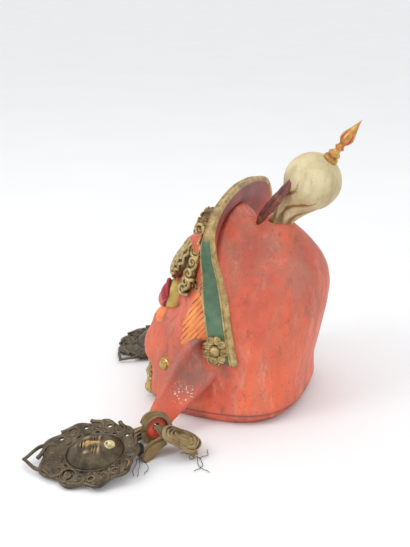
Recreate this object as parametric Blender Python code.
"""Carved wooden helmet mask of a wrathful guardian, with metal ear plates.

Metres, +Z up. The mask stands on its neck rim and leans back: the face looks
along -Y, the mask's left side is +X, and the floor is z = 0.
The origin is at the middle of the whole object's box, on the floor.
"""
import math

import bmesh
import bpy
import numpy as np
from mathutils import Matrix, Vector

# Driving dimensions
MASK_HEIGHT = 0.300
WALL = 0.014
RIM_BAND = 0.016
RIM_TUCK = 0.011
TIARA_DEPTH = 0.026
TIARA_WALL = 0.011
LOBE_THICKNESS = 0.019
LOBE_HOLE = 0.012
STUD_DIAMETER = 0.021
STUD_HEIGHT = 0.010
STUD_SEAT = 0.006
TOPKNOT_WIDTH = 0.090
TOPKNOT_REACH = 0.085        # from its foot to the middle of the ball
TOPKNOT_NECK = 0.034
LEAF_WIDTH = 0.017
LEAF_THICKNESS = 0.007
FINIAL_LENGTH = 0.078
FINIAL_WIDTH = 0.024
PLATE_LENGTH = 0.141
PLATE_WIDTH = 0.122
PLATE_THICKNESS = 0.004
PLATE_DOME = 0.020
PLATE_LOOP = 0.034
PLATE_WIRE = 0.006
CLOTH_WIDTH = 0.018
KNOT_WIDTH = 0.044
HOLE_SLACK = 0.001
GAP = 0.0003

# The carving is a free form: its places and radii below are in parts, with
# three hundred parts to the mask's height.
PART = MASK_HEIGHT / 300

# Stations of the head: height, front, back and half width in parts, and how
# square its plan is there.
HEAD_STATIONS = (
    (0, -186, 65, 143, 2.8),
    (16, -190, 69, 145, 2.8),
    (60, -187, 70, 140, 2.6),
    (110, -176, 81, 132, 2.4),
    (160, -160, 91, 125, 2.3),
    (195, -150, 95, 117, 2.3),
    (222, -137, 91, 105, 2.3),
    (245, -118, 81, 89, 2.2),
    (263, -90, 68, 70, 2.1),
    (277, -60, 57, 51, 2.0),
    (288, -36, 45, 35, 2.0),
    (295, -17, 37, 24, 2.0),
    (298, -8, 33, 19, 2.0),
)
CROWN = HEAD_STATIONS[-1][0]
HEAD_SEGMENTS = 46
HEAD_LEVELS = 21
CROWN_LEVELS = 6

# Carved swellings and hollows of the face: degrees from the front, height,
# radius and push outwards, in parts. Each is made on both sides.
NOSE = ((0, 134, 16, 27), (0, 151, 12, 18), (0, 169, 11, 14), (0, 187, 11, 10), (12, 122, 12, 17))
CHEEKS = ((30, 104, 31, 25), (38, 82, 17, 8))
EYES = ((28, 184, 26, -9), (28, 184, 17, 25), (36, 151, 14, 9))
MOUTH = ((0, 42, 15, -11), (9, 41, 14, -11), (18, 38, 11, -8),
         (0, 26, 9, 8), (9, 26, 9, 8), (17, 28, 8, 6), (0, 58, 8, 5), (8, 57, 8, 5))
MOUSTACHE = ((7, 71, 9, 9), (15, 65, 9, 11), (23, 54, 9, 12), (30, 41, 9, 12), (34, 27, 9, 9))
CHIN = ((0, 8, 22, 7),)
FACE_FORMS = NOSE + CHEEKS + EYES + MOUTH + MOUSTACHE + CHIN

# Outline of the tiara's rim on one side: half width, height, place front to
# back, and depth as a share of the band's, from the rosette to the middle.
TIARA_RIM = (
    (141, 104, -18, 1.0), (137, 140, -29, 1.0), (129, 175, -38, 1.0), (127, 205, -42, 1.0),
    (135, 240, -44, 1.0), (147, 272, -45, 1.0), (153, 297, -45, 0.9), (149, 316, -46, 0.6),
    (130, 331, -47, 0.45), (101, 340, -49, 0.45), (67, 346, -50, 0.45), (33, 349, -51, 0.45),
    (0, 350, -52, 0.45),
)
TIARA_EYE = (0, 222)         # where the tiara's walls run towards: x and height
TIARA_STEPS = (0.0, 0.06, 0.14, 0.30, 0.52, 0.78)
FOREHEAD = (35, 84, 122, 282, 306)   # swell, its half widths and its heights

BROW_PATH = ((12, -152, 192, 8), (32, -147, 210, 14), (54, -131, 231, 18),
             (70, -113, 253, 18), (79, -98, 277, 12))
BROW_CURLS = ((95, -112, 198), (97, -105, 218), (96, -98, 238), (93, -92, 258), (87, -88, 277))
CURL_RADIUS = 11
ROSETTE_PLACE = (136, -45, 124)
ROSETTE_RADIUS = (21, 27)
PLAQUE_PLACE = (0, -108, 280)
PLAQUE_RADIUS = (40, 27)

# The long ear: its middle line and half width, in parts.
EAR_LINE = (
    (120, -56, 128, 24), (134, -66, 108, 36), (150, -82, 82, 34), (173, -97, 58, 27),
    (199, -107, 39, 21), (222, -112, 23, 17), (237, -115, 15, 11),
)
EAR_NORMAL = (0.62, 0.62, 0.48)
LOBE_HOLE_ROW = 5            # the row of EAR_LINE that is pierced

# Places of the brass studs: degrees from the front and height, in parts.
STUD_PLACES = (("upper", 55, 76), ("lower", 38, 17))

# Topknot: its foot on the crown and how far it leans back from upright.
TOPKNOT_FOOT = (0, 14)
TOPKNOT_LEAN = 35.5
LEAF_PATH = ((25, -17, 297), (31, 0, 322), (36, 24, 352), (33, 43, 381))

# Ear plates: where the cloth ties each one, and the way that each one lies.
LEFT_TIE = (302, -102, 28)
LEFT_LENGTHWAYS = (0.295, -0.946, -0.13)
LEFT_TILT = -16              # degrees, its outer edge down
RIGHT_TIE = (-170, -229, 10)
RIGHT_LENGTHWAYS = (0.955, -0.29, -0.03)
RIGHT_TILT = 4               # degrees, its inner edge up
PLATE_TURNS = 36
PLATE_LOBES = 9

# Cloth routes after the pierced lobe, with half widths as shares of the
# cloth's, in parts.
LEFT_ROUTE = ((223, -135, 11, 0.9), (246, -138, 11, 1.0), (272, -126, 16, 0.9), (291, -110, 24, 0.7))
RIGHT_ROUTE = ((-220, -136, 11, 0.9), (-214, -162, 10, 1.0), (-203, -194, 10, 1.0), (-186, -220, 11, 0.7))
KNOT_PLACE = (246, -64, 24)
KNOT_TAIL = (264, -44, 14)


def remove_everything():
    for item in list(bpy.data.objects):
        bpy.data.objects.remove(item, do_unlink=True)
    for mesh in list(bpy.data.meshes):
        bpy.data.meshes.remove(mesh)


def material(name, colour, roughness, metallic=0.0):
    paint = bpy.data.materials.new(name)
    paint.use_nodes = True
    shader = paint.node_tree.nodes["Principled BSDF"]
    shader.inputs["Base Color"].default_value = (*colour, 1)
    shader.inputs["Roughness"].default_value = roughness
    shader.inputs["Metallic"].default_value = metallic
    return paint


def new_object(name, shape, paint=None, smooth=35):
    """Make an object from a bmesh, with its faces pointing out."""
    bmesh.ops.remove_doubles(shape, verts=shape.verts, dist=0.00001)
    bmesh.ops.recalc_face_normals(shape, faces=shape.faces)
    mesh = bpy.data.meshes.new(name)
    shape.to_mesh(mesh)
    shape.free()
    mesh.shade_smooth()
    mesh.set_sharp_from_angle(angle=math.radians(smooth))
    item = bpy.data.objects.new(name, mesh)
    bpy.context.collection.objects.link(item)
    if paint:
        mesh.materials.append(paint)
    return item


def boolean(item, others, operation):
    """Join or cut item with others, which stay behind as guides."""
    guides = bpy.data.collections.new(item.name + "_" + operation.lower())
    bpy.context.scene.collection.children.link(guides)
    for other in others:
        other.hide_render = True
        other.display_type = 'WIRE'
        bpy.context.collection.objects.unlink(other)
        guides.objects.link(other)
    step = item.modifiers.new(operation.title(), 'BOOLEAN')
    step.operation = operation
    step.solver = 'EXACT'
    step.operand_type = 'COLLECTION'
    step.collection = guides


def parts(point):
    return Vector(point) * PART


def curve_through(rows, count):
    """Points along a smooth curve through rows, evenly in the rows' index."""
    rows = np.array(rows, float)
    padded = np.vstack([2 * rows[0] - rows[1], rows, 2 * rows[-1] - rows[-2]])
    found = []
    for step in np.linspace(0, len(rows) - 1, count):
        index = min(int(step), len(rows) - 2)
        t = step - index
        a, b, c, d = padded[index:index + 4]
        found.append(0.5 * (2 * b + (c - a) * t + (2 * a - 5 * b + 4 * c - d) * t ** 2
                            + (3 * b - a - 3 * c + d) * t ** 3))
    return np.array(found)


def fade(value, start, end):
    """Smooth step from 0 at start to 1 at end."""
    share = min(max((value - start) / (end - start), 0), 1)
    return share * share * (3 - 2 * share)


def ring_solid(rings):
    """A closed solid through rings of equal length, capped flat at both ends."""
    shape = bmesh.new()
    made = [[shape.verts.new(point) for point in ring] for ring in rings]
    count = len(made[0])
    for low, high in zip(made, made[1:]):
        for k in range(count):
            n = (k + 1) % count
            shape.faces.new((low[k], low[n], high[n], high[k]))
    shape.faces.new(list(reversed(made[0])))
    shape.faces.new(made[-1])
    return shape


def head_point(degrees, height, inset=0.0):
    """A point on the smooth head, in metres, at an angle from the front."""
    table = np.array(HEAD_STATIONS, float)
    front, back, half, square = [float(np.interp(height, table[:, 0], table[:, k]))
                                 for k in (1, 2, 3, 4)]
    middle = (front + back) / 2
    length = (back - front) / 2 - inset
    half -= inset
    angle = math.radians(degrees)
    across = abs(math.sin(angle)) / half
    along = abs(math.cos(angle)) / length
    reach = (across ** square + along ** square) ** (-1 / square)
    return parts((reach * math.sin(angle), middle - reach * math.cos(angle), height))


def outwards(point):
    """The way out of the head at a point on it."""
    return (point - parts((0, -30, 120))).normalized()


def head_levels():
    low = np.linspace(RIM_BAND / PART, 236, HEAD_LEVELS)
    crown = CROWN - (CROWN - 236) * (1 - np.linspace(0, 1, CROWN_LEVELS + 1)[1:]) ** 1.8
    return [0.0] + list(low) + list(crown)


def head_angles():
    """Angles round the head in degrees, closer together at the face."""
    turns = np.linspace(0, 360, HEAD_SEGMENTS, endpoint=False)
    return [turn - 28 * math.sin(math.radians(turn)) for turn in turns]


def carved(point, forms):
    """Push a point of the smooth head out or in by the carving round it."""
    mirrored = Vector((abs(point.x), point.y, point.z))
    push = 0.0
    for place, radius, height in forms:
        away = (mirrored - place).length / (radius * PART)
        push += height * PART * math.exp(-away * away)
    return point + outwards(point) * push


def head_skin():
    forms = [(head_point(angle, height), radius, push)
             for angle, height, radius, push in FACE_FORMS]
    levels = head_levels()
    rings = []
    for index, height in enumerate(levels):
        inset = RIM_TUCK / PART if index == 0 else 0.0
        ring = [carved(head_point(angle, height, inset), forms) for angle in head_angles()]
        if index < 2 or index == len(levels) - 1:
            for point in ring:
                point.z = height * PART
        rings.append(ring)
    return new_object("head_skin", ring_solid(rings))


def head_cavity():
    """The wearer's space: the smooth head less its wall, open at the neck."""
    wall = WALL / PART
    band = RIM_BAND / PART
    top = CROWN - wall
    rings = []
    for level in [-wall, 0.0, band] + list(np.linspace(2 * band, top, 8)):
        outer = level + wall * 0.8 * fade(level, 0.5 * top, top)
        inset = wall + RIM_TUCK / PART * (level <= 0)
        ring = [head_point(turn * 360 / 24, min(max(outer, 0), CROWN - 1), inset)
                for turn in range(24)]
        for point in ring:
            point.z = level * PART
        rings.append(ring)
    return new_object("head_cavity", ring_solid(rings))


def tiara():
    """The crown that stands up behind the brow, hollowed at the back."""
    half = [tuple(row) for row in curve_through(TIARA_RIM, 15)]
    rim = half + [(-x, z, y, share) for x, z, y, share in half[-2::-1]]
    swell, near_half, far_half, low, high = FOREHEAD
    shape = bmesh.new()
    front, back = [], []
    for x, z, y, share in rim:
        near, far = [], []
        for step in TIARA_STEPS:
            px = x + (TIARA_EYE[0] - x) * step
            pz = z + (TIARA_EYE[1] - z) * step
            depth = TIARA_DEPTH / PART * (share + (1 - share) * fade(step, 0.1, 0.4))
            hollow = (depth - TIARA_WALL / PART) * fade(step, 0.04, 0.3)
            bulge = swell * fade(abs(px), far_half, near_half) * fade(pz, high, low) * fade(step, 0, 0.2)
            near.append(shape.verts.new(parts((px, y - depth - bulge, pz))))
            far.append(shape.verts.new(parts((px, y - hollow, pz))))
        front.append(near)
        back.append(far)
    last = len(TIARA_STEPS) - 1
    for k in range(len(rim) - 1):
        n = k + 1
        for s in range(last):
            shape.faces.new((front[k][s], front[n][s], front[n][s + 1], front[k][s + 1]))
            shape.faces.new((back[k][s], back[k][s + 1], back[n][s + 1], back[n][s]))
        shape.faces.new((front[k][0], back[k][0], back[n][0], front[n][0]))
        shape.faces.new((front[k][last], front[n][last], back[n][last], back[k][last]))
    for k in (0, len(rim) - 1):
        shape.faces.new(front[k] + back[k][::-1])
    return new_object("tiara", shape)


def flat_bar(name, rows, count, normal, thickness, sides, side=1):
    """A bar of oval section along rows of x, y, z and half width, in parts."""
    rows = curve_through(rows, count)
    line = [parts(row[:3]) for row in rows]
    rings = []
    for k, row in enumerate(rows):
        ahead = (line[min(k + 1, count - 1)] - line[max(k - 1, 0)]).normalized()
        wide = ahead.cross(Vector(normal)).normalized()
        thick = wide.cross(ahead)
        end = min(k, count - 1 - k)
        taper = (0.5, 0.85)[end] if end < 2 else 1.0
        ring = []
        for turn in range(sides):
            angle = math.tau * turn / sides
            offset = wide * math.cos(angle) * row[3] * PART * taper
            offset += thick * math.sin(angle) * thickness / 2 * taper
            point = line[k] + offset
            ring.append(Vector((point.x * side, point.y, point.z)))
        rings.append(ring)
    return new_object(name, ring_solid(rings))


def round_tube(name, line, radii, sides=8, paint=None):
    """A tube along points with a radius at each, closed at both ends."""
    rings = []
    for k, (point, radius) in enumerate(zip(line, radii)):
        ahead = (line[min(k + 1, len(line) - 1)] - line[max(k - 1, 0)]).normalized()
        level = ahead.cross(Vector((0, 0, 1))).normalized()
        upper = level.cross(ahead)
        rings.append([point + (level * math.cos(math.tau * turn / sides)
                               + upper * math.sin(math.tau * turn / sides)) * float(radius)
                      for turn in range(sides)])
    return new_object(name, ring_solid(rings), paint, 60)


def boss(name, place, normal, radius, height, foot, sides, rings, petals=0, side=1, paint=None):
    """A low dome on a surface, sunk by foot, with petals round it if asked."""
    wide, tall = radius
    turned = Vector(normal).normalized().to_track_quat('Z', 'Y').to_matrix()
    loops = []
    for ring in range(-1, rings):
        share = max(ring, 0) / rings * math.pi / 2
        lift = height * math.sin(share) if ring >= 0 else -foot
        loop = []
        for turn in range(sides):
            angle = math.tau * turn / sides
            reach = math.cos(share) * (1 + 0.1 * math.cos(petals * angle) * bool(petals))
            point = turned @ Vector((wide * reach * math.cos(angle),
                                     tall * reach * math.sin(angle), lift)) + Vector(place)
            loop.append(Vector((point.x * side, point.y, point.z)))
        loops.append(loop)
    shape = ring_solid(loops)
    shape.verts.ensure_lookup_table()
    shape.faces.ensure_lookup_table()
    tip = turned @ Vector((0, 0, height)) + Vector(place)
    made = bmesh.ops.poke(shape, faces=[shape.faces[-1]])["verts"][0]
    made.co = Vector((tip.x * side, tip.y, tip.z))
    return new_object(name, shape, paint)


def stud_seat(degrees, height):
    """Place and way out of a stud's seat, pressed a little into the beard."""
    forms = [(head_point(a, z), r, push) for a, z, r, push in FACE_FORMS]
    place = carved(head_point(degrees, height), forms)
    out = outwards(place)
    out.z *= 0.3
    return place, out.normalized()


def rod(name, place, axis, radius, low, high, sides=16, side=1):
    """A cylinder along an axis through place, from low to high along it."""
    shape = bmesh.new()
    turned = Vector(axis).to_track_quat('Z', 'Y').to_matrix().to_4x4()
    middle = Vector(place) + Vector(axis).normalized() * (low + high) / 2
    bmesh.ops.create_cone(shape, cap_ends=True, segments=sides, radius1=radius,
                          radius2=radius, depth=high - low,
                          matrix=Matrix.Translation(middle) @ turned)
    for vert in shape.verts:
        vert.co.x *= side
    return new_object(name, shape)


def mask_head(paint):
    """Helmet, face, tiara and long ears, carved from one block."""
    head = head_skin()
    head.name = "mask_head"
    head.data.materials.append(paint)
    added = [tiara(), boss("plaque", parts(PLAQUE_PLACE), (0, -1, 0.25),
                           [r * PART for r in PLAQUE_RADIUS], 9 * PART, 14 * PART, 20, 3, 5)]
    hollows = [head_cavity()]
    for side, word in ((1, "left"), (-1, "right")):
        added.append(flat_bar("ear_" + word, EAR_LINE, 13, EAR_NORMAL, LOBE_THICKNESS, 10, side))
        added.append(flat_bar("brow_" + word, BROW_PATH, 9, (0.25, -0.9, 0.35), 26 * PART, 8, side))
        added.append(boss("rosette_" + word, parts(ROSETTE_PLACE), (1, 0.05, 0.05),
                          [r * PART for r in ROSETTE_RADIUS], 10 * PART, 12 * PART, 24, 3, 8, side))
        for number, place in enumerate(BROW_CURLS):
            added.append(boss(f"curl_{word}_{number}", parts(place), (0.85, -0.4, 0.2),
                              (CURL_RADIUS * PART,) * 2, 8 * PART, 12 * PART, 8, 1, 0, side))
        hollows.append(rod("lobe_hole_" + word, parts(EAR_LINE[LOBE_HOLE_ROW][:3]), EAR_NORMAL,
                           LOBE_HOLE / 2, -2 * LOBE_THICKNESS, 2 * LOBE_THICKNESS, side=side))
        for name, degrees, height in STUD_PLACES:
            place, out = stud_seat(degrees, height)
            hollows.append(rod(f"stud_seat_{word}_{name}", place, out, STUD_DIAMETER / 2 + GAP,
                               -STUD_SEAT, 3 * STUD_SEAT, side=side))
    boolean(head, added, 'UNION')
    boolean(head, hollows, 'DIFFERENCE')


def studs(paint):
    for side, word in ((1, "left"), (-1, "right")):
        for name, degrees, height in STUD_PLACES:
            place, out = stud_seat(degrees, height)
            boss(f"beard_stud_{word}_{name}", place, out, (STUD_DIAMETER / 2,) * 2,
                 STUD_HEIGHT, STUD_SEAT - GAP, 12, 3, 0, side, paint)


def topknot_axis():
    lean = math.radians(TOPKNOT_LEAN)
    return Vector((0, math.sin(lean), math.cos(lean)))


def along_topknot(reach):
    foot = parts((*TOPKNOT_FOOT, CROWN))
    return foot + topknot_axis() * reach


def turned_solid(rows, sides):
    """A solid turned about the topknot's axis, from rows of reach and radius."""
    across = Vector((1, 0, 0))
    upper = topknot_axis().cross(across)
    return ring_solid([[along_topknot(reach) + (across * math.cos(math.tau * turn / sides)
                                                + upper * math.sin(math.tau * turn / sides)) * radius
                        for turn in range(sides)] for reach, radius in rows])


def topknot_top():
    """How far along its axis the topknot's flat top is, where the finial stands."""
    ball = TOPKNOT_WIDTH / 2
    return TOPKNOT_REACH + math.sqrt(ball ** 2 - (FINIAL_WIDTH / 2 + 0.001) ** 2)


def topknot(paint):
    """The knot of hair on the crown, with a leaf on each side."""
    ball = TOPKNOT_WIDTH / 2
    neck = TOPKNOT_NECK / 2
    turn_in = math.radians(130)
    shoulder = TOPKNOT_REACH + ball * math.cos(turn_in)
    wide = ball * math.sin(turn_in)
    rows = [(-neck, neck)]
    rows += [(shoulder * t, neck + (wide - neck) * t ** 1.8) for t in (0.1, 0.4, 0.65, 0.85)]
    stop = math.asin((FINIAL_WIDTH / 2 + 0.001) / ball)
    for angle in np.linspace(turn_in, stop, 10):
        rows.append((TOPKNOT_REACH + ball * math.cos(angle), ball * math.sin(angle)))
    shape = turned_solid(rows, 20)
    floor = parts((0, 0, CROWN)) + Vector((0, 0, GAP))
    cut = bmesh.ops.bisect_plane(shape, geom=shape.verts[:] + shape.edges[:] + shape.faces[:],
                                 plane_co=floor, plane_no=(0, 0, 1), clear_inner=True)
    bmesh.ops.holes_fill(shape, edges=[e for e in cut["geom_cut"] if isinstance(e, bmesh.types.BMEdge)])
    knot = new_object("topknot", shape, paint)
    rows = [(*point, LEAF_WIDTH / 2 / PART * share)
            for point, share in zip(LEAF_PATH, (0.8, 1.0, 1.0, 0.35))]
    boolean(knot, [flat_bar("topknot_leaf_" + word, rows, 7, (0.85, -0.45, 0.1), LEAF_THICKNESS, 6, side)
                   for side, word in ((1, "left"), (-1, "right"))], 'UNION')


def finial(paint):
    """The gilt bud: a collar, two turned rings and a pointed bud."""
    base = FINIAL_WIDTH / 2
    profile = ((0, 1.0), (0.06, 1.0), (0.11, 0.72), (0.15, 0.82), (0.20, 0.62), (0.27, 0.46),
               (0.31, 0.62), (0.35, 0.48), (0.40, 0.42), (0.46, 0.66), (0.54, 0.82), (0.64, 0.72),
               (0.76, 0.46), (0.90, 0.18), (1.0, 0.04))
    start = topknot_top() + GAP
    rows = [(start + reach * FINIAL_LENGTH, radius * base) for reach, radius in profile]
    new_object("topknot_finial", turned_solid(rows, 12), paint)


def plate_reach(angle):
    """Distance from the dome's middle to the plate's scalloped edge."""
    loop_end, tie_end, half = 0.57 * PLATE_LENGTH, 0.43 * PLATE_LENGTH, PLATE_WIDTH / 2
    length = loop_end if math.cos(angle) > 0 else tie_end
    plain = 1 / math.hypot(math.cos(angle) / length, math.sin(angle) / half)
    return plain * (1 + 0.06 * math.cos(PLATE_LOBES * angle + math.pi))


def plate_open(row, k):
    """Whether a cell of the plate's ring k at a row is a piercing."""
    half = min(k, PLATE_TURNS - 1 - k)
    if row == 2:
        return half in (12, 13, 15)
    return row == 3 and half in (1, 2, 5, 6, 9, 10, 17)


def ear_plate(name, tie, lengthways, tilt, paint):
    """A pierced metal plate with a domed boss and a wire loop at its end."""
    dome = (0.30 * PLATE_LENGTH, 0.28 * PLATE_WIDTH)
    shape = bmesh.new()
    middle = shape.verts.new((0, 0, PLATE_DOME))
    rows = []
    for row in range(5):
        ring = []
        for k in range(PLATE_TURNS):
            angle = math.tau * k / PLATE_TURNS
            inner = 1 / math.hypot(math.cos(angle) / dome[0], math.sin(angle) / dome[1])
            edge = plate_reach(angle)
            reach = (inner * 0.6, inner, inner * 1.13, (inner * 1.13 + edge) / 2, edge)[row]
            lift = (0.72 * PLATE_DOME, 0.1 * PLATE_DOME, 0.1 * PLATE_DOME, 0.22 * PLATE_DOME, 0)[row]
            ring.append(shape.verts.new((reach * math.cos(angle), reach * math.sin(angle), lift)))
        rows.append(ring)
    for k in range(PLATE_TURNS):
        n = (k + 1) % PLATE_TURNS
        shape.faces.new((middle, rows[0][k], rows[0][n]))
        for row in range(4):
            if not plate_open(row + 1, k):
                shape.faces.new((rows[row][k], rows[row + 1][k], rows[row + 1][n], rows[row][n]))
    end = plate_reach(0) + PLATE_LOOP
    tip = shape.verts.new((end, 0, 0))
    inner_tip = shape.verts.new((end - 2 * PLATE_WIRE, 0, 0))
    edge = rows[-1]
    shape.faces.new((edge[3], edge[2], inner_tip, tip))
    shape.faces.new((edge[-2], edge[-3], tip, inner_tip))
    bmesh.ops.recalc_face_normals(shape, faces=shape.faces)
    along = Vector(lengthways).normalized()
    level = Vector((0, 0, 1)).cross(along).normalized()
    across = Matrix.Rotation(math.radians(tilt), 3, along) @ level
    upward = along.cross(across)
    centre = parts(tie) + along * plate_reach(math.pi)
    for vert in shape.verts:
        vert.co = centre + along * vert.co.x + across * vert.co.y + upward * vert.co.z
    lowest = min(vert.co.z for vert in shape.verts)
    for vert in shape.verts:
        vert.co.z += PLATE_THICKNESS / 2 - lowest
    plate = new_object(name, shape, paint)
    shell = plate.modifiers.new("Thickness", 'SOLIDIFY')
    shell.thickness = PLATE_THICKNESS
    shell.offset = 0
    return plate


def ear_cloth(name, side, route, paint):
    """Cloth strip through the pierced lobe: a knot behind it, a plate before it."""
    hole = parts(EAR_LINE[LOBE_HOLE_ROW][:3])
    normal = Vector(EAR_NORMAL).normalized()
    snug = LOBE_HOLE / 2 - HOLE_SLACK
    through = LOBE_THICKNESS / 2
    rows = [(parts(KNOT_TAIL), KNOT_WIDTH * 0.25), (parts(KNOT_PLACE), KNOT_WIDTH / 2),
            (hole + normal * through * 2.6, KNOT_WIDTH * 0.2),
            (hole + normal * through * 1.4, snug), (hole, snug), (hole - normal * through * 1.4, snug)]
    rows = [((place.x * side, place.y, place.z), radius) for place, radius in rows]
    rows += [(parts(row[:3]), CLOTH_WIDTH / 2 * row[3]) for row in route]
    found = curve_through([(*place, radius) for place, radius in rows], 2 * len(rows) + 3)
    round_tube(name, [Vector(row[:3]) for row in found], [row[3] for row in found], 7, paint)


def centre_on_origin():
    """Move everything so that the solids' box has its middle over the origin."""
    graph = bpy.context.evaluated_depsgraph_get()
    corners = []
    for item in bpy.data.objects:
        if not item.hide_render:
            corners += [item.evaluated_get(graph).matrix_world @ Vector(c)
                        for c in item.evaluated_get(graph).bound_box]
    middle = [(min(c[k] for c in corners) + max(c[k] for c in corners)) / 2 for k in (0, 1)]
    for item in bpy.data.objects:
        item.location = (-middle[0], -middle[1], 0)


def main():
    remove_everything()
    mask_head(material("red_paint", (0.55, 0.09, 0.05), 0.55))
    studs(material("brass", (0.62, 0.45, 0.18), 0.35, 1.0))
    topknot(material("cream_paint", (0.68, 0.58, 0.36), 0.6))
    finial(material("gilding", (0.55, 0.36, 0.13), 0.45, 0.6))
    bronze = material("dark_bronze", (0.16, 0.12, 0.08), 0.45, 1.0)
    ear_plate("ear_plate_left", LEFT_TIE, LEFT_LENGTHWAYS, LEFT_TILT, bronze)
    ear_plate("ear_plate_right", RIGHT_TIE, RIGHT_LENGTHWAYS, RIGHT_TILT, bronze)
    cloth = material("ear_cloth", (0.20, 0.15, 0.08), 0.95)
    ear_cloth("ear_cloth_left", 1, LEFT_ROUTE, cloth)
    ear_cloth("ear_cloth_right", -1, RIGHT_ROUTE, cloth)
    centre_on_origin()


main()
